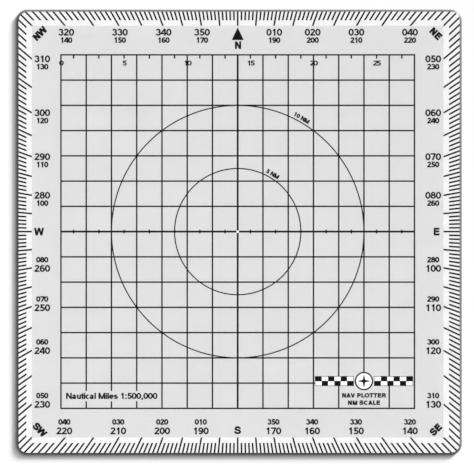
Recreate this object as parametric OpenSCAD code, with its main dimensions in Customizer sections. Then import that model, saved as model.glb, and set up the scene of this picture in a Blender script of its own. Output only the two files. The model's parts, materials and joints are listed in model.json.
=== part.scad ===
// Square chart plotter: a clear plastic sheet with a bearing ring round its edge,
// a matt writing panel, and a nautical-mile grid printed round a centre pinhole.
// Millimetres. +Z is up and +Y is north on the print.
// The origin is the pinhole's centre on the sheet's underside.

/* [Sheet] */
// Length of each side
sheet_size = 130.7; // [128:0.1:134]
// Thickness
sheet_thickness = 1.0; // [0.8:0.1:2]
// Radius of the four corners
corner_radius = 3.2; // [2:0.1:4]
// Width of the bevel round both faces
bevel_width = 0.6; // [0.2:0.05:0.7]
// Height of each bevel
bevel_height = 0.3; // [0.1:0.05:0.35]
// Diameter of the pinhole at the centre of the print
pinhole_diameter = 0.6; // [0.5:0.1:1.2]
// How far the sheet's centre lies east of the pinhole
sheet_east = 0.4; // [-0.6:0.05:0.6]
// How far the sheet's centre lies north of the pinhole
sheet_north = -0.2; // [-0.6:0.05:0.6]

/* [Print layers] */
// Thickness of the matt writing panel
coat_thickness = 0.05; // [0.04:0.01:0.1]
// Thickness of the ink
ink_thickness = 0.05; // [0.04:0.01:0.1]
// Half the side of the square writing panel
panel_half = 60.4; // [59.5:0.1:61]

/* [Bearing ring] */
// Width of a degree tick
tick_width = 0.48; // [0.3:0.02:0.6]
// Half the side of the square on which the one-degree ticks start
short_tick_half = 62; // [61.5:0.1:62.8]

/* [Grid] */
// The chart's scale is one to this number
chart_scale = 500000; // [498000:1000:560000]
// Squares along half of each side
half_squares = 7; // [6:1:7]
// Width of a grid line
line_width = 0.42; // [0.2:0.02:0.46]
// Width of the north-south line
north_south_width = 0.54; // [0.3:0.02:0.6]
// Width of the east-west line
east_west_width = 0.54; // [0.3:0.02:0.6]
// Width of a range circle's line
circle_width = 0.34; // [0.2:0.02:0.46]
// Clear space between the pinhole's wall and the lines that point at it
pinhole_gap = 0.05; // [0.05:0.05:0.3]
// Length of the odd-mile ticks under the top border
mile_tick_length = 1.1; // [0.8:0.1:1.6]
// Width of a mile mark on the east-west line
mark_width = 0.9; // [0.6:0.1:1]
// Height of a mile mark on the east-west line
mark_height = 1.4; // [0.9:0.1:1.6]

/* [North arrow] */
// Width of the arrow's base
arrow_width = 3.5; // [2.5:0.1:4]
// Height of the arrow
arrow_height = 3.7; // [2.5:0.1:4]
// Gap between the arrow's tip and the edge of the writing panel
arrow_margin = 0.5; // [0.3:0.1:1]

/* [Bar scale] */
// Radius of the disc between the scale's two halves
disc_radius = 2.7; // [2:0.1:2.8]
// Height of one row of blocks
block_height = 1.2; // [0.8:0.1:1.3]
// How far the scale's centre lies above the grid's lowest inner line
scale_lift = 0.6; // [0:0.05:0.8]
// Width of each pair of the compass star's points where they meet
star_width = 0.9; // [0.6:0.1:1.2]
// Space from the tips of the compass star to the disc's edge
star_margin = 0.6; // [0.5:0.05:1]

/* [Hidden] */
$fn = 96;
// A nautical mile is 1852 m, in millimetres
mile_on_earth = 1852000;
mile = mile_on_earth / chart_scale;
square_miles = 2;
square_side = square_miles * mile;
grid_half = half_squares * square_side;
grid_inside = grid_half - line_width / 2;
half_miles = half_squares * square_miles;
panel_top = sheet_thickness + coat_thickness;
flat_half = sheet_size / 2 - bevel_width;
flat_radius = corner_radius - bevel_width;
// The ticks are drawn out to here and trimmed where the sheet's flat top ends
tick_reach = sheet_size / 2 + 1;
line_stop = pinhole_diameter / 2 + pinhole_gap;
// The legend's space in the bottom row of squares, which the grid lines leave free
legend_west = -grid_half + 1;
legend_east = -grid_half + 4 * square_side - 0.7;
legend_low = -grid_half + 2.1;
legend_high = -grid_half + 5.1;
// The bar scale is centred on a grid line, two squares in from the grid's east side
scale_east = grid_half - 2 * square_side;
scale_north = -grid_half + square_side + scale_lift;
blocks_a_side = 6;
block_length = mile / 2;
rule_width = 0.16;
scale_half_height = block_height + 1.5 * rule_width;
// Half the length of the bar scale, which ends just short of the grid's border
scale_reach = 2 * square_side - line_width;
blocks_start = scale_reach - rule_width - blocks_a_side * block_length;
// Half the width of the words under the bar scale
words_reach = 6.5;

// Lays a flat shape on the sheet as ink, starting at a height
module ink(height, shade = "black") {
    color(shade)
        translate([0, 0, height])
            linear_extrude(ink_thickness)
                children();
}

module bar(length, width) {
    square([length, width], center = true);
}

module ring(radius, width) {
    difference() {
        circle(radius + width / 2);
        circle(radius - width / 2);
    }
}

module diamond(width, height) {
    polygon([[-width / 2, 0], [0, -height / 2], [width / 2, 0], [0, height / 2]]);
}

// A square with round corners, centred on the sheet
module rounded_square(half, radius) {
    translate([sheet_east, sheet_north]) {
        bar(2 * half, 2 * (half - radius));
        bar(2 * (half - radius), 2 * half);
        for (x = [-1, 1]) for (y = [-1, 1])
            translate([x, y] * (half - radius))
                circle(radius);
    }
}

// The sheet's cross-section from its middle to one bevelled edge, as points
function edge_points(reach) = [
    [0, 0],
    [reach - bevel_width, 0],
    [reach, bevel_height],
    [reach, sheet_thickness - bevel_height],
    [reach - bevel_width, sheet_thickness],
    [0, sheet_thickness]
];

// One of the two crossed slabs that make the sheet, with its bevelled edges facing east and west
module bevelled_slab(half, length) {
    for (side = [0, 1])
        mirror([side, 0, 0])
            rotate([90, 0, 0])
                translate([0, 0, -length / 2])
                    linear_extrude(length)
                        polygon(edge_points(half));
}

module base_sheet() {
    half = sheet_size / 2;
    corner = half - corner_radius;
    color([0.86, 0.9, 0.92, 0.5])
        difference() {
            translate([sheet_east, sheet_north, 0]) {
                bevelled_slab(half, 2 * corner);
                rotate([0, 0, 90])
                    bevelled_slab(half, 2 * corner);
                for (x = [-1, 1]) for (y = [-1, 1])
                    translate([x * corner, y * corner, 0])
                        rotate_extrude()
                            polygon(edge_points(corner_radius));
            }
            translate([0, 0, -1])
                cylinder(h = sheet_thickness + 2, d = pinhole_diameter);
        }
}

module writing_panel() {
    color([0.89, 0.89, 0.89])
        translate([0, 0, sheet_thickness])
            linear_extrude(coat_thickness)
                difference() {
                    bar(2 * panel_half, 2 * panel_half);
                    circle(d = pinhole_diameter);
                }
}

// A radial tick that starts on a square of the given half side, with its ends parallel to the side
module tick(angle, start) {
    slope = tan(angle);
    spread = tick_width / 2 / cos(angle);
    polygon([
        [start * slope - spread, start],
        [start * slope + spread, start],
        [tick_reach * slope + spread, tick_reach],
        [tick_reach * slope - spread, tick_reach]
    ]);
}

// The ticks at the given angles, repeated on all four sides and trimmed to the sheet's flat top
module tick_ring(angles, start) {
    intersection() {
        for (side = [0:3])
            rotate(90 * side)
                for (angle = angles)
                    tick(angle, start);
        rounded_square(flat_half, flat_radius);
    }
}

module degree_ticks() {
    ink(sheet_thickness)
        tick_ring([for (angle = [-44:44]) if (angle % 5 != 0) angle], short_tick_half);
}

module five_degree_ticks() {
    ink(sheet_thickness)
        tick_ring([-45:5:40], panel_half);
}

module grid_border() {
    ink(panel_top)
        difference() {
            bar(2 * grid_half + line_width, 2 * grid_half + line_width);
            bar(2 * grid_inside, 2 * grid_inside);
        }
}

// Every line of the grid inside its border, the two heavier middle lines left out
module plain_lines() {
    for (turn = [0, 90])
        rotate(turn)
            for (index = [1:half_squares - 1]) for (side = [-1, 1])
                translate([0, side * index * square_side])
                    bar(2 * grid_inside, line_width);
}

module middle_lines() {
    bar(north_south_width, 2 * grid_inside);
    bar(2 * grid_inside, east_west_width);
}

module legend_space() {
    translate([legend_west, legend_low])
        square([legend_east - legend_west, legend_high - legend_low]);
}

module at_scale() {
    translate([scale_east, scale_north])
        children();
}

module both_halves() {
    for (side = [0, 1])
        mirror([side, 0])
            children();
}

// The space that the bar scale, its disc and the words under it take from the grid lines
module scale_space() {
    at_scale()
        circle(disc_radius);
    translate([scale_east - scale_reach, scale_north - scale_half_height])
        square([2 * scale_reach + line_width, 2 * scale_half_height]);
    translate([scale_east - words_reach, -grid_half])
        square([2 * words_reach, grid_half + scale_north]);
}

module grid_lines() {
    ink(panel_top)
        difference() {
            plain_lines();
            middle_lines();
            legend_space();
            scale_space();
        }
}

module north_south_line() {
    ink(panel_top)
        difference() {
            bar(north_south_width, 2 * grid_inside);
            bar(2 * line_stop, 2 * line_stop);
        }
}

module east_west_line() {
    ink(panel_top)
        difference() {
            bar(2 * grid_inside, east_west_width);
            bar(2 * line_stop, 2 * line_stop);
        }
}

module mile_scale_ticks() {
    ink(panel_top)
        for (miles = [-half_miles + 1:square_miles:half_miles - 1])
            translate([miles * mile - line_width / 2, grid_half - mile_tick_length])
                square([line_width, mile_tick_length - line_width / 2]);
}

module mile_marks() {
    for (miles = [-half_miles + 1:square_miles:half_miles - 1])
        translate([miles * mile, 0])
            diamond(mark_width, mark_height);
}

module axis_mile_marks() {
    ink(panel_top)
        difference() {
            mile_marks();
            bar(2 * grid_inside, east_west_width);
        }
}

module range_circle(miles) {
    ink(panel_top)
        difference() {
            ring(miles * mile, circle_width);
            plain_lines();
            middle_lines();
            mile_marks();
        }
}

module range_circle_5nm() range_circle(5);

module range_circle_10nm() range_circle(10);

module north_arrow() {
    tip = panel_half - arrow_margin;
    ink(panel_top)
        polygon([[-arrow_width / 2, tip - arrow_height], [arrow_width / 2, tip - arrow_height], [0, tip]]);
}

// The bar scale's white blocks in one half: two rows, staggered, with a rule between them
module white_blocks() {
    low_row = -block_height - rule_width / 2;
    high_row = rule_width / 2;
    for (index = [0:blocks_a_side - 1])
        translate([blocks_start + index * block_length, index % 2 == 0 ? high_row : low_row])
            square([block_length, block_height]);
}

module bar_scale_blocks() {
    ink(panel_top)
        at_scale()
            both_halves()
                difference() {
                    translate([blocks_start - rule_width, -scale_half_height])
                        square([scale_reach - blocks_start + rule_width, 2 * scale_half_height]);
                    white_blocks();
                }
}

module bar_scale_fill() {
    ink(panel_top, "white")
        at_scale()
            both_halves()
                white_blocks();
}

module star() {
    star_length = 2 * (disc_radius - star_margin);
    diamond(star_length, star_width);
    diamond(star_width, star_length);
}

module compass_star() {
    ink(panel_top)
        at_scale() {
            star();
            ring(disc_radius - line_width / 2, line_width);
        }
}

module star_disc() {
    ink(panel_top, "white")
        at_scale()
            difference() {
                circle(disc_radius - line_width);
                star();
            }
}

base_sheet();
writing_panel();
degree_ticks();
five_degree_ticks();
grid_border();
grid_lines();
north_south_line();
east_west_line();
mile_scale_ticks();
axis_mile_marks();
range_circle_5nm();
range_circle_10nm();
north_arrow();
bar_scale_blocks();
bar_scale_fill();
compass_star();
star_disc();
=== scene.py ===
"""Looks for the square chart plotter: its lettering, materials, light and camera.

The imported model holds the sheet, the writing panel and the drawn part of the print. This script adds the
figures and letters as films of ink, each built from its own strokes. Metres, +Z up, +Y north on the print,
with the origin at the pinhole on the sheet's underside.
"""

import json
import math
from collections import namedtuple

import bmesh
import bpy
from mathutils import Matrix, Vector
from mathutils.geometry import delaunay_2d_cdt

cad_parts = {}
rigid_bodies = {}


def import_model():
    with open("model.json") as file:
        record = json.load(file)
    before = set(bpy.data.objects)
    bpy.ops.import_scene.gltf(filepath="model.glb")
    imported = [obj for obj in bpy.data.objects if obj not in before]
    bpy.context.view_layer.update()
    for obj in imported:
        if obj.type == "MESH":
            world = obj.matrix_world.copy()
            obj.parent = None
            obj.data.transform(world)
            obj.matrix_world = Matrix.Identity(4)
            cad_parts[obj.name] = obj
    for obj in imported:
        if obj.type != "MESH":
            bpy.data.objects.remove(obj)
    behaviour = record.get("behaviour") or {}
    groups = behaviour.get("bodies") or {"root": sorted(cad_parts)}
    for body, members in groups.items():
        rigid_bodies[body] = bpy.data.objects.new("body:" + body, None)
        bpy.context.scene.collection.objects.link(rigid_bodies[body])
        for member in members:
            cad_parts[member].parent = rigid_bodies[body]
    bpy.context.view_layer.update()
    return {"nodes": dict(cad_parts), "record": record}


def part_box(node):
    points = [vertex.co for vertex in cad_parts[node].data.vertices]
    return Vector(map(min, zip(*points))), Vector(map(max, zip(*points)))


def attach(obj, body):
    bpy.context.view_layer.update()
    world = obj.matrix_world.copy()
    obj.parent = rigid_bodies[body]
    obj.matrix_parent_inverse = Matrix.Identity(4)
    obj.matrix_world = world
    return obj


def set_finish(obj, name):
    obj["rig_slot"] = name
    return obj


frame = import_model()

MM = 0.001

# ---------------------------------------------------------------- measures of the frame, in millimetres


def top_corner(node):
    """A CAD node's highest corner, in millimetres."""
    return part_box(node)[1] / MM


GRID_MILES = 28
# The grid's nominal edge is the middle of its border line: midway between the border's outside and the
# ends of the lines inside.
GRID_HALF = (top_corner("grid_border").x + top_corner("grid_lines").x) / 2
MILE = 2 * GRID_HALF / GRID_MILES
PANEL_HALF = top_corner("writing_panel").x
PANEL_TOP = top_corner("writing_panel").z
ARROW_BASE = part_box("north_arrow")[0].y / MM
SCALE_CENTRE = (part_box("star_disc")[0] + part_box("star_disc")[1]) / 2 / MM
FILM = top_corner("grid_lines").z - PANEL_TOP

# ---------------------------------------------------------------- strokes of the lettering

# Letters are drawn in units of their own capital height, on a baseline at 0.
SMALL_LETTER = 0.73
# The angle between neighbouring points of a round stroke, in degrees.
ARC_STEP = 12
# A stroke whose two ends are closer than this is closed.
SAME_PLACE = 1e-6

# A style: the width of its strokes, how much wider than drawn its characters are, and how far apart they
# stand compared with the drawn spacing.
Style = namedtuple("Style", "stroke stretch pitch")
BEARING = Style(0.205, 1.13, 0.974)
SMALL_BEARING = Style(0.235, 1.13, 0.9)
INITIAL = Style(0.25, 1.02, 0.99)
CORNER_PAIR = Style(0.28, 1.03, 0.9)
LEGEND = Style(0.215, 1.18, 0.978)
MILE_FIGURE = Style(0.21, 1.35, 0.88)
RANGE_LABEL = Style(0.26, 1.18, 0.96)
SMALL_PRINT = Style(0.275, 1.12, 1.02)


def ellipse(centre, radii, start, end):
    """Points along part of an ellipse, from one angle to another in degrees, either way round."""
    steps = max(2, round(abs(end - start) / ARC_STEP))
    angles = [math.radians(start + (end - start) * i / steps) for i in range(steps + 1)]
    return [(centre[0] + radii[0] * math.cos(a), centre[1] + radii[1] * math.sin(a)) for a in angles]


class Pen:
    """Draws strokes of one width. Each stroke is a list of convex faces, which may overlap others."""

    def __init__(self, width):
        self.width = width
        self.half = width / 2

    def path(self, points):
        """A stroke along a line of points, cut square at both ends: a face along each step, and a wedge
        on the outside of each bend."""
        line = [Vector(p) for p in points]
        steps = list(zip(line, line[1:]))
        sides = []
        for start, end in steps:
            ahead = (end - start).normalized()
            sides.append(Vector((-ahead.y, ahead.x)) * self.half)
        faces = [
            [start - side, end - side, end + side, start + side] for (start, end), side in zip(steps, sides)
        ]
        bends = list(zip(line[1:-1], sides, sides[1:]))
        is_closed = (line[0] - line[-1]).length < SAME_PLACE
        if is_closed:
            bends.append((line[0], sides[-1], sides[0]))
        for corner, before, after in bends:
            outside = -1 if before.x * after.y > before.y * after.x else 1
            faces.append([corner, corner + before * outside, corner + after * outside])
        return faces

    def arc(self, centre, radii, start=0, end=360):
        """A stroke inside an ellipse whose outer radii are given."""
        inner = (radii[0] - self.half, radii[1] - self.half)
        return self.path(ellipse(centre, inner, start, end))

    def stem(self, x, low=0.0, high=1.0):
        """An upright stroke centred on x."""
        left, right = x - self.half, x + self.half
        return [[(left, low), (right, low), (right, high), (left, high)]]

    def bar(self, y, left, right):
        """A level stroke centred on y."""
        low, high = y - self.half, y + self.half
        return [[(left, low), (right, low), (right, high), (left, high)]]

    def slant(self, x0, y0, x1, y1):
        """A sloping stroke with level ends."""
        spread = self.half * math.hypot(x1 - x0, y1 - y0) / abs(y1 - y0)
        return [[(x0 - spread, y0), (x0 + spread, y0), (x1 + spread, y1), (x1 - spread, y1)]]

    def lobes(self, x, radii, waist, height, upper, lower):
        """Two arcs, one above the other, that meet on a waist line: the body of a 3, an 8 or an s."""
        high = (height - self.half - waist) / 2
        low = (waist - self.half) / 2
        return (
            self.arc((x, waist + high), (radii[0], high + self.half), *upper)
            + self.arc((x, waist - low), (radii[1], low + self.half), *lower)
        )


def turned(strokes, x, y):
    """Strokes turned half round about a point."""
    return [[(2 * x - px, 2 * y - py) for px, py in map(tuple, face)] for face in strokes]


def letters(width):
    """Every character at one stroke width, as its advance and its strokes."""
    pen = Pen(width)
    h = pen.half
    top, low = 1 - h, h
    figure = 0.774
    middle = figure / 2
    small = SMALL_LETTER
    six = (
        pen.arc((0.395, 0.33), (0.325, 0.33))
        + pen.arc((0.42, 0.5), (0.35, 0.5), 180, 48)
    )
    two = ellipse((0.385, 0.71), (0.31 - h, 0.29 - h), 172, -38)
    return {
        " ": (0.387, []),
        "0": (figure, pen.arc((middle, 0.5), (0.34, 0.5))),
        "1": (figure, pen.stem(0.55 - h) + pen.path(ellipse((0.19, 1.0), (0.27, 0.26), 270, 350))),
        "2": (figure, pen.path(two + [(0.06 + h, low)]) + pen.bar(low, 0.06, 0.71)),
        "3": (figure, pen.lobes(0.375, (0.3, 0.335), 0.53, 1, (168, -90), (90, -168))),
        "4": (figure, pen.slant(0.1, 0.3, 0.53, 1) + pen.bar(0.3, 0.04, 0.74) + pen.stem(0.56)),
        "5": (
            figure,
            pen.bar(top, 0.16, 0.68) + pen.stem(0.16 + h, 0.42, 1)
            + pen.arc((0.375, 0.33), (0.34, 0.33), 128, -155),
        ),
        "6": (figure, six),
        "7": (figure, pen.bar(top, 0.06, 0.72) + pen.slant(0.3, 0, 0.64, 1 - h)),
        "8": (figure, pen.lobes(middle, (0.285, 0.33), 0.54, 1, (0, 360), (0, 360))),
        "9": (figure, turned(six, middle, 0.5)),
        ":": (0.387, pen.stem(0.19, 0, width) + pen.stem(0.19, 0.55, 0.55 + width)),
        ",": (0.387, pen.stem(0.19, 0, width) + pen.slant(0.15, -0.14, 0.2, 0.02)),
        "A": (
            0.929,
            pen.slant(0.03 + h, 0, 0.465, 1) + pen.slant(0.9 - h, 0, 0.465, 1)
            + pen.bar(0.3, 0.2, 0.73),
        ),
        "C": (1.005, pen.arc((0.52, 0.5), (0.45, 0.5), 42, 318)),
        "E": (
            0.929,
            pen.stem(0.12 + h) + pen.bar(low, 0.12, 0.86) + pen.bar(0.53, 0.12, 0.82)
            + pen.bar(top, 0.12, 0.85),
        ),
        "H": (1.005, pen.stem(0.11 + h) + pen.stem(0.9 - h) + pen.bar(0.53, 0.11, 0.9)),
        "I": (0.387, pen.stem(0.19)),
        "L": (0.774, pen.stem(0.11 + h) + pen.bar(low, 0.11, 0.74)),
        "M": (
            1.16,
            pen.stem(0.11 + h) + pen.stem(1.05 - h)
            + pen.slant(0.11 + h, 1, 0.58, 0) + pen.slant(0.58, 0, 1.05 - h, 1),
        ),
        "N": (1.005, pen.stem(0.11 + h) + pen.stem(0.9 - h) + pen.slant(0.11 + h, 1, 0.9 - h, 0)),
        "O": (1.083, pen.arc((0.54, 0.5), (0.49, 0.5))),
        "P": (
            0.929,
            pen.stem(0.12 + h) + pen.bar(top, 0.12, 0.6) + pen.bar(0.45, 0.12, 0.6)
            + pen.path(ellipse((0.58, (top + 0.45) / 2), (0.3 - h, (top - 0.45) / 2), 90, -90)),
        ),
        "R": (
            1.005,
            pen.stem(0.12 + h) + pen.bar(top, 0.12, 0.62) + pen.bar(0.48, 0.12, 0.62)
            + pen.stem(0.88 - h, 0, 0.38)
            + pen.path(ellipse((0.6, (top + 0.48) / 2), (0.3 - h, (top - 0.48) / 2), 90, -90))
            + pen.path(ellipse((0.6, 0.36), (0.28 - h, 0.12), 0, 90)),
        ),
        "S": (0.929, pen.lobes(0.46, (0.4, 0.44), 0.53, 1.04, (-12, 270), (90, -195))),
        "T": (0.851, pen.bar(top, 0.02, 0.83) + pen.stem(0.425)),
        "V": (0.929, pen.slant(0.03 + h, 1, 0.465, 0) + pen.slant(0.465, 0, 0.9 - h, 1)),
        "W": (
            1.315,
            pen.slant(0.02 + h, 1, 0.35, 0) + pen.slant(0.35, 0, 0.657, 1)
            + pen.slant(0.657, 1, 0.965, 0) + pen.slant(0.965, 0, 1.295 - h, 1),
        ),
        "a": (
            figure,
            pen.arc((0.345, 0.5), (0.275, small - 0.5), 165, 0) + pen.stem(0.62 - h, 0, 0.53)
            + pen.arc((0.33, 0.215), (0.28, 0.225)),
        ),
        "c": (0.696, pen.arc((0.36, small / 2), (0.31, small / 2), 48, 312)),
        "e": (
            figure,
            pen.arc((middle, small / 2), (0.33, small / 2), 0, 315) + pen.bar(small / 2, 0.1, 0.7),
        ),
        "i": (0.309, pen.stem(0.155, 0, small) + pen.stem(0.155, 1 - width, 1)),
        "l": (0.309, pen.stem(0.155)),
        "s": (0.696, pen.lobes(0.345, (0.26, 0.3), small * 0.52, small, (30, 270), (90, -160))),
        "t": (
            0.387,
            pen.stem(0.19, 0.02, 0.93) + pen.bar(small - h, 0.02, 0.37)
            + pen.bar(low, 0.19 - h, 0.36),
        ),
        "u": (
            figure,
            pen.stem(0.1 + h, 0.24, small) + pen.stem(0.67 - h, 0, small)
            + pen.path(ellipse((0.385, 0.26), (0.285 - h, 0.26 - h), 180, 360)),
        ),
    }


def signed_area(face):
    """Positive for a face whose corners run counter-clockwise."""
    return sum(a[0] * b[1] - b[0] * a[1] for a, b in zip(face, face[1:] + face[:1])) / 2


def holds(face, point):
    """Whether a point lies inside a face whose corners run counter-clockwise."""
    return all(
        (b[0] - a[0]) * (point.y - a[1]) > (b[1] - a[1]) * (point.x - a[0])
        for a, b in zip(face, face[1:] + face[:1])
    )


def outline(strokes):
    """The triangles that overlapping strokes cover between them, with no overlap left."""
    wound = [face if signed_area(face) > 0 else face[::-1] for face in strokes]
    points = [Vector(p) for face in wound for p in face]
    faces = []
    for face in wound:
        start = faces[-1][-1] + 1 if faces else 0
        faces.append(list(range(start, start + len(face))))
    triangles_inside = 1
    closeness = 1e-5
    found, _, shapes, _, _, sources = delaunay_2d_cdt(points, [], faces, triangles_inside, closeness)
    # The hollow of a round letter can come back as a part of its ring, so the middle of each triangle has
    # to lie inside one of the faces that it is said to come from.
    kept = []
    for shape, source in zip(shapes, sources):
        middle = sum((found[i] for i in shape), Vector((0, 0))) / 3
        if any(holds(wound[i], middle) for i in source):
            kept.append(shape)
    return found, kept


# The characters of each stroke width, drawn once.
ALPHABETS = {}


def set_out(words, style, from_left):
    """The flat outline of a line of words in a style, centred or running from its left end."""
    if style.stroke not in ALPHABETS:
        ALPHABETS[style.stroke] = letters(style.stroke)
    characters = [ALPHABETS[style.stroke][letter] for letter in words]
    length = sum(advance for advance, _ in characters) * style.pitch
    start = 0.0 if from_left else -length / 2
    faces = []
    for advance, strokes in characters:
        middle = start + advance * style.pitch / 2
        for face in strokes:
            faces.append([(middle + (x - advance / 2) * style.stretch, y) for x, y in map(tuple, face)])
        start += advance * style.pitch
    return outline(faces)


class Line:
    """One line of lettering: words, capital height, and where the middle of its capitals goes. It is
    centred there or starts there, and is turned counter-clockwise by some degrees."""

    def __init__(self, words, cap, x, y, turn=0.0, from_left=False):
        self.words = words
        self.cap = cap
        self.place = Vector((x, y))
        self.turn = math.radians(turn)
        self.from_left = from_left


def film(name, lines, style):
    """A piece of lettering that lies on the writing panel, as thick as the rest of the ink."""
    shape = bmesh.new()
    for line in lines:
        points, faces = set_out(line.words, style, line.from_left)
        cos, sin = math.cos(line.turn), math.sin(line.turn)
        corners = []
        for point in points:
            x, y = point.x * line.cap, (point.y - 0.5) * line.cap
            across, up = line.place.x + x * cos - y * sin, line.place.y + x * sin + y * cos
            corners.append(shape.verts.new(Vector((across, up, PANEL_TOP)) * MM))
        for face in faces:
            shape.faces.new([corners[i] for i in face])
    raised = bmesh.ops.extrude_face_region(shape, geom=shape.faces[:])["geom"]
    lifted = [item for item in raised if isinstance(item, bmesh.types.BMVert)]
    bmesh.ops.translate(shape, verts=lifted, vec=Vector((0, 0, FILM * MM)))
    bmesh.ops.recalc_face_normals(shape, faces=shape.faces[:])
    mesh = bpy.data.meshes.new(name)
    shape.to_mesh(mesh)
    shape.free()
    piece = bpy.data.objects.new(name, mesh)
    bpy.context.scene.collection.objects.link(piece)
    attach(piece, "root")
    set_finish(piece, "black_ink")
    return piece


# ---------------------------------------------------------------- where the lettering goes, in millimetres

# The heights of a bearing, of the opposite bearing beside it, of N, E, S and W, and of a corner pair.
BIG_CAP = 2.05
SMALL_CAP = 1.67
LETTER_CAP = 2.24
CORNER_CAP = 2.16
# The rows of bearings and opposite bearings on the north and south sides, and the columns on the others.
NORTH_BIG, NORTH_SMALL = 58.5, 56.18
SOUTH_BIG, SOUTH_SMALL = -58.46, -55.83
WEST_COLUMN, EAST_COLUMN = -57.35, 57.35
# How far east of their ticks the figures of the north and south sides stand.
NORTH_SHIFT, SOUTH_SHIFT = 0.12, -0.18
# The figures along the north side stand a little nearer the middle than the ticks that they mark.
NORTH_PULL = 0.995
# How far below or above its bearing an opposite bearing stands on the east and west sides.
SMALL_BELOW = 2.3
SMALL_ABOVE = 2.56
# How far below their ticks the figures stand in the lower half of the east and west sides.
DROPS = {-1: 0.15, -2: 0.35, -3: 0.05, -4: 0.0}
TENS = (-4, -3, -2, -1, 1, 2, 3, 4)


def bearing(degrees):
    """The three figures of a bearing."""
    return f"{degrees % 360:03d}"


def along_side(tens):
    """How far from the middle of a side the tick stands that many tens of degrees away."""
    return PANEL_HALF * math.tan(math.radians(10 * tens))


def level_side(facing, big_y, small_y, pull, shift):
    """The figures along the north or south side: bearings, and the opposite bearings further in."""
    big, small = [], []
    clockwise = 1 if facing == 0 else -1
    for tens in TENS:
        x = along_side(tens) * pull + shift
        degrees = facing + clockwise * 10 * tens
        big.append(Line(bearing(degrees), BIG_CAP, x, big_y))
        small.append(Line(bearing(degrees + 180), SMALL_CAP, x, small_y))
    return big, small


def upright_side(facing, column):
    """The figures down the east or west side. Below the middle the opposite bearings stand above."""
    big, small = [], []
    clockwise = -1 if facing == 90 else 1
    for tens in TENS:
        y = along_side(tens)
        degrees = facing + clockwise * 10 * tens
        if tens > 0:
            big_y, small_y = y, y - SMALL_BELOW
        else:
            big_y, small_y = y - DROPS[tens], y - DROPS[tens] + SMALL_ABOVE
        big.append(Line(bearing(degrees), BIG_CAP, column, big_y))
        small.append(Line(bearing(degrees + 180), SMALL_CAP, column, small_y))
    return big, small


def polar(radius, degrees):
    """A point at a distance from the pinhole, at an angle clockwise from north."""
    return radius * math.sin(math.radians(degrees)), radius * math.cos(math.radians(degrees))


for side, (big, small) in {
    "north": level_side(0, NORTH_BIG, NORTH_SMALL, NORTH_PULL, NORTH_SHIFT),
    "south": level_side(180, SOUTH_BIG, SOUTH_SMALL, 1, SOUTH_SHIFT),
    "west": upright_side(270, WEST_COLUMN),
    "east": upright_side(90, EAST_COLUMN),
}.items():
    film(f"bearings_{side}", big, BEARING)
    film(f"opposite_bearings_{side}", small, SMALL_BEARING)

# How far from the pinhole the E, S and W stand.
CARDINAL_REACH = 58.3
# How far under its arrow's base the N stands, and how far east of the middle.
NORTH_GAP = 1.5
NORTH_EASTING = 0.1
film(
    "cardinal_letters",
    [
        Line("N", LETTER_CAP, NORTH_EASTING, ARROW_BASE - NORTH_GAP),
        Line("E", LETTER_CAP, CARDINAL_REACH, 0),
        Line("S", LETTER_CAP, 0, -CARDINAL_REACH),
        Line("W", LETTER_CAP, -CARDINAL_REACH, 0),
    ],
    INITIAL,
)

# How far each corner pair stands from the pinhole, both east or west and north or south.
CORNER_REACH = 58.1
film(
    "corner_letters",
    [
        Line(words, CORNER_CAP, CORNER_REACH * east, CORNER_REACH * north, -45 * east * north)
        for words, east, north in (("NE", 1, 1), ("SE", 1, -1), ("SW", -1, -1), ("NW", -1, 1))
    ],
    CORNER_PAIR,
)

MILE_FIGURE_CAP = 1.5
# How far below the grid's top edge the mile figures stand, and how far east of their miles.
MILE_FIGURE_DROP = 2.4
MILE_FIGURE_SHIFT = 0.14
film(
    "mile_figures",
    [
        Line(
            str(miles),
            MILE_FIGURE_CAP,
            -GRID_HALF + miles * MILE + MILE_FIGURE_SHIFT,
            GRID_HALF - MILE_FIGURE_DROP,
        )
        for miles in range(0, GRID_MILES, 5)
    ],
    MILE_FIGURE,
)

RANGE_CAP = 1.3
# How far outside its circle a range label stands, and how far clockwise it is turned, in degrees.
RANGE_GAP = 1.25
RANGE_TURN = 30.5
# Where the label of each circle stands, in degrees from north.
RANGE_PLACES = {5: 31.2, 10: 29.3}
film(
    "range_labels",
    [
        Line(f"{miles} NM", RANGE_CAP, *polar(miles * MILE + RANGE_GAP, place), -RANGE_TURN)
        for miles, place in RANGE_PLACES.items()
    ],
    RANGE_LABEL,
)

LEGEND_CAP = 1.8
# The legend's left end, and the middle of its capitals, from the grid's lower left corner.
LEGEND_MARGIN = 1.45
LEGEND_RISE = 3.65
film(
    "scale_legend",
    [
        Line(
            "Nautical Miles 1:500,000",
            LEGEND_CAP,
            -GRID_HALF + LEGEND_MARGIN,
            -GRID_HALF + LEGEND_RISE,
            from_left=True,
        )
    ],
    LEGEND,
)

WORDS_CAP = 1.32
# How far below the middle of the bar scale each line of words stands.
WORDS_DROPS = {"NAV PLOTTER": 4.2, "NM SCALE": 6.35}
film(
    "plotter_words",
    [
        Line(words, WORDS_CAP, SCALE_CENTRE.x, SCALE_CENTRE.y - drop)
        for words, drop in WORDS_DROPS.items()
    ],
    SMALL_PRINT,
)

# ---------------------------------------------------------------- materials

# Parts of the sheet's surface whose normals rise or fall less than this are steep.
EDGE_LIMIT = 0.96
# Steep parts closer to the origin than this are the pinhole's wall, and the others are the sheet's edges.
PINHOLE_REACH = 10 * MM
# The share of what is under the writing panel that its frost covers.
FROST = 0.55
# Most of a noise lies between these.
NOISE_SPAN = (0.35, 0.65)


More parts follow.
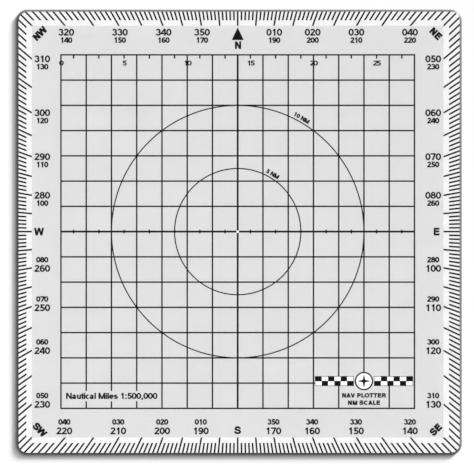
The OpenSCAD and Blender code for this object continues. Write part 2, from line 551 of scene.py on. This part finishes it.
class Recipe:
    """A material under construction: adds nodes, sets their values and joins them."""

    def __init__(self, name):
        self.material = bpy.data.materials.new(name)
        self.material.use_nodes = True
        self.nodes = self.material.node_tree.nodes
        self.links = self.material.node_tree.links
        self.nodes.clear()
        self.output = self.nodes.new("ShaderNodeOutputMaterial")

    def add(self, kind, **values):
        """A node. Capitalised values name its sockets, with underscores for spaces, and a socket as a
        value is joined. Other values are the node's own settings."""
        node = self.nodes.new("ShaderNode" + kind)
        for name, value in values.items():
            if name[0].isupper():
                self.feed(node.inputs[name.replace("_", " ")], value)
            else:
                setattr(node, name, value)
        return node

    def feed(self, socket, value):
        """Joins a socket to another one, or gives it a value of its own."""
        if isinstance(value, bpy.types.NodeSocket):
            self.links.new(value, socket)
        else:
            socket.default_value = value

    def math(self, operation, first, second=0.0):
        """One of the shader's own operations on one or two numbers."""
        node = self.add("Math", operation=operation)
        self.feed(node.inputs[0], first)
        self.feed(node.inputs[1], second)
        return node.outputs[0]

    def mix(self, share, first, second):
        """A mix of two shaders."""
        node = self.add("MixShader")
        self.feed(node.inputs[0], share)
        self.links.new(first, node.inputs[1])
        self.links.new(second, node.inputs[2])
        return node.outputs[0]

    def place(self, kind="Object"):
        """Where a point is: "Object" gives it in metres, and "Generated" in shares of the object's box."""
        return self.add("TexCoord").outputs[kind]

    def rise(self, vector):
        """The Z of a vector."""
        return self.add("SeparateXYZ", Vector=vector).outputs["Z"]

    def noise(self, scale, detail, roughness):
        """Noise over the object's own coordinates, at so many features a metre."""
        node = self.add(
            "TexNoise", Vector=self.place(), Scale=scale, Detail=detail, Roughness=roughness
        )
        return node.outputs[0]

    def ramp(self, noise, low, high):
        """A number that runs from low to high across the span where most of a noise lies."""
        first, last = NOISE_SPAN
        node = self.add("MapRange", Value=noise, From_Min=first, From_Max=last, To_Min=low, To_Max=high)
        return node.outputs[0]

    def tint(self, share, first, second):
        """A colour between two colours."""
        node = self.add("Mix", data_type="RGBA")
        self.feed(node.inputs[0], share)
        self.feed(node.inputs[6], (*first, 1))
        self.feed(node.inputs[7], (*second, 1))
        return node.outputs[2]

    def bump(self, height, depth):
        """Normals for a height that runs from 0 to 1 over a depth in metres."""
        return self.add("Bump", Height=height, Strength=1.0, Distance=depth).outputs[0]

    def done(self, shader):
        """The finished material."""
        self.links.new(shader, self.output.inputs["Surface"])
        return self.material


def clear_plastic():
    """Clear sheet: faces that show what is under them with a soft gloss, and bevelled edges painted dark as
    shade in place of the refraction that darkens a clear edge.
    """
    recipe = Recipe("clear_plastic")
    geometry = recipe.add("NewGeometry")
    rays = recipe.add("LightPath")
    is_steep = recipe.math(
        "LESS_THAN", recipe.math("ABSOLUTE", recipe.rise(geometry.outputs["Normal"])), EDGE_LIMIT
    )
    # The pinhole's wall is as clear as the faces, so that the hole stays light.
    reach = recipe.add("VectorMath", operation="LENGTH", Vector=recipe.place()).outputs["Value"]
    is_outer = recipe.math("GREATER_THAN", reach, PINHOLE_REACH)
    is_edge = recipe.math("MULTIPLY", is_steep, is_outer)

    scuffs = recipe.noise(260, 6, 0.65)
    see = recipe.add("BsdfTransparent", Color=(0.993, 0.991, 0.992, 1)).outputs[0]
    gloss = recipe.add(
        "BsdfAnisotropic", Color=(1, 1, 1, 1), Roughness=recipe.ramp(scuffs, 0.05, 0.16)
    ).outputs[0]
    haze = recipe.add("BsdfDiffuse", Color=(0.91, 0.91, 0.91, 1)).outputs[0]
    glint = recipe.add("Fresnel", IOR=1.58).outputs[0]
    # Only the face that a ray comes in by shines, and the lamps' light passes on down to the table without
    # a reflection.
    outside = recipe.math("SUBTRACT", 1.0, geometry.outputs["Backfacing"])
    seen = recipe.math("SUBTRACT", 1.0, rays.outputs["Is Shadow Ray"])
    shine = recipe.math("MULTIPLY", glint, recipe.math("MULTIPLY", outside, seen))
    face = recipe.mix(shine, recipe.mix(recipe.ramp(scuffs, 0.01, 0.03), see, haze), gloss)

    # The edges' dark colour is painted shade. It stands in for the dark look that refraction gives a clear
    # sheet's edge, which is not traced. The saw marks in its tone, roughness and bump are the edge's own.
    saw = recipe.noise(4200, 2, 0.5)
    sawn_edge_painted_dark = recipe.add(
        "BsdfPrincipled",
        Base_Color=recipe.tint(saw, (0.09, 0.09, 0.09), (0.16, 0.158, 0.157)),
        Roughness=recipe.ramp(saw, 0.28, 0.5),
        Normal=recipe.bump(saw, 0.00002),
    ).outputs[0]
    # An edge stops a ray that meets it from outside, so it shows its painted dark colour, and throws a
    # shadow on the side away
    #     # from the lamps. A ray that meets it from inside the sheet passes.
    edge = recipe.mix(geometry.outputs["Backfacing"], sawn_edge_painted_dark, see)
    return recipe.done(recipe.mix(is_edge, face, edge))


def matt_coat():
    """The frosted writing panel: pale, even and fine-grained. Some of what is under it shows through."""
    recipe = Recipe("matt_coat")
    grain = recipe.noise(9000, 2, 0.6)
    cloud = recipe.noise(60, 3, 0.5)
    shade = recipe.tint(recipe.ramp(cloud, 0, 1), (0.52, 0.52, 0.52), (0.54, 0.54, 0.54))
    # All the frost is in the upper face. The lower one touches the sheet and adds nothing to it.
    is_upper = recipe.math("GREATER_THAN", recipe.rise(recipe.place("Generated")), 0.5)
    return recipe.done(
        recipe.add(
            "BsdfPrincipled",
            Base_Color=shade,
            Roughness=recipe.ramp(grain, 0.52, 0.7),
            Alpha=recipe.math("MULTIPLY", is_upper, FROST),
            Specular_IOR_Level=0.3,
            Normal=recipe.bump(grain, 0.000006),
        ).outputs[0]
    )


def ink(name, thin, full):
    """A screen-printed film: nearly even, a little thinner in places, with a satin surface."""
    recipe = Recipe(name)
    spread = recipe.noise(1500, 4, 0.6)
    return recipe.done(
        recipe.add(
            "BsdfPrincipled",
            Base_Color=recipe.tint(recipe.ramp(spread, 0, 1), full, thin),
            Roughness=recipe.ramp(spread, 0.38, 0.55),
            Specular_IOR_Level=0.06,
            Normal=recipe.bump(spread, 0.000004),
        ).outputs[0]
    )


MATERIALS = {
    "clear_plastic": clear_plastic(),
    "matt_coat": matt_coat(),
    "black_ink": ink("black_ink", (0.009, 0.009, 0.01), (0.003, 0.003, 0.0035)),
    "white_ink": ink("white_ink", (0.88, 0.88, 0.87), (0.95, 0.95, 0.945)),
}

SLOTS = {part["node"]: part["material_slot"] for part in frame["record"]["subparts"]}
for node, piece in frame["nodes"].items():
    for place in piece.material_slots:
        place.material = MATERIALS[SLOTS[node]]

for piece in [o for o in bpy.context.scene.objects if o.get("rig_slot")]:
    piece.data.materials.append(MATERIALS[piece["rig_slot"]])

# Neither the frosted panel nor the ink throws a shadow that the eye can make out on a table this close.
for piece in bpy.context.scene.objects:
    if piece.type == "MESH" and piece.name != "base_sheet":
        piece.visible_shadow = False

# ---------------------------------------------------------------- floor, light and camera

# The floor lies this far under the sheet, and reaches this far each way from the pinhole, in metres.
FLOOR_GAP = 0.02 * MM
FLOOR_HALF = 3.0
floor_corners = [
    (east * FLOOR_HALF, north * FLOOR_HALF, -FLOOR_GAP)
    for east, north in ((-1, -1), (1, -1), (1, 1), (-1, 1))
]
floor_mesh = bpy.data.meshes.new("floor")
floor_mesh.from_pydata(floor_corners, [], [(0, 1, 2, 3)])
floor = bpy.data.objects.new("floor", floor_mesh)
bpy.context.scene.collection.objects.link(floor)
paper = Recipe("floor_paper")
matt = paper.add("BsdfDiffuse", Color=(0.86, 0.86, 0.86, 1), Roughness=0.5).outputs[0]
floor_mesh.materials.append(paper.done(matt))

# Two soft lamps from the upper right throw the sheet's shadow to the left and below: a low one that draws
# the shadow out, and a higher and broader one that darkens it towards the sheet.
LAMP_AZIMUTH = 45


def lamp(name, strength, spread, height):
    """A distant lamp in the north-east at a height above the horizon. Angles are in degrees."""
    data = bpy.data.lights.new(name, "SUN")
    data.energy = strength
    data.angle = math.radians(spread)
    piece = bpy.data.objects.new(name, data)
    bpy.context.scene.collection.objects.link(piece)
    piece.rotation_euler = (math.radians(90 - height), 0, math.radians(90 + LAMP_AZIMUTH))


lamp("low_lamp", strength=7.2, spread=16, height=17.5)
lamp("high_lamp", strength=1.2, spread=34, height=38)

# The strength of the light that comes from all round.
FILL = 0.35
world = bpy.data.worlds.new("studio")
world.use_nodes = True
world.node_tree.nodes["Background"].inputs["Color"].default_value = (1, 1, 1, 1)
world.node_tree.nodes["Background"].inputs["Strength"].default_value = FILL
bpy.context.scene.world = world

# The camera looks straight down with a long lens, at a field this wide around this point. The sheet sits
# a little up and to the right in the picture.
FIELD = 139.07 * MM
FRAME_EAST, FRAME_NORTH = -0.21 * MM, -1.58 * MM
camera_data = bpy.data.cameras.new("camera")
camera_data.lens = 200
camera_data.sensor_width = 36
camera = bpy.data.objects.new("camera", camera_data)
bpy.context.scene.collection.objects.link(camera)
distance = FIELD * camera_data.lens / camera_data.sensor_width
camera.location = (FRAME_EAST, FRAME_NORTH, distance + PANEL_TOP * MM)
bpy.context.scene.camera = camera

bpy.context.scene.view_settings.view_transform = "Standard"
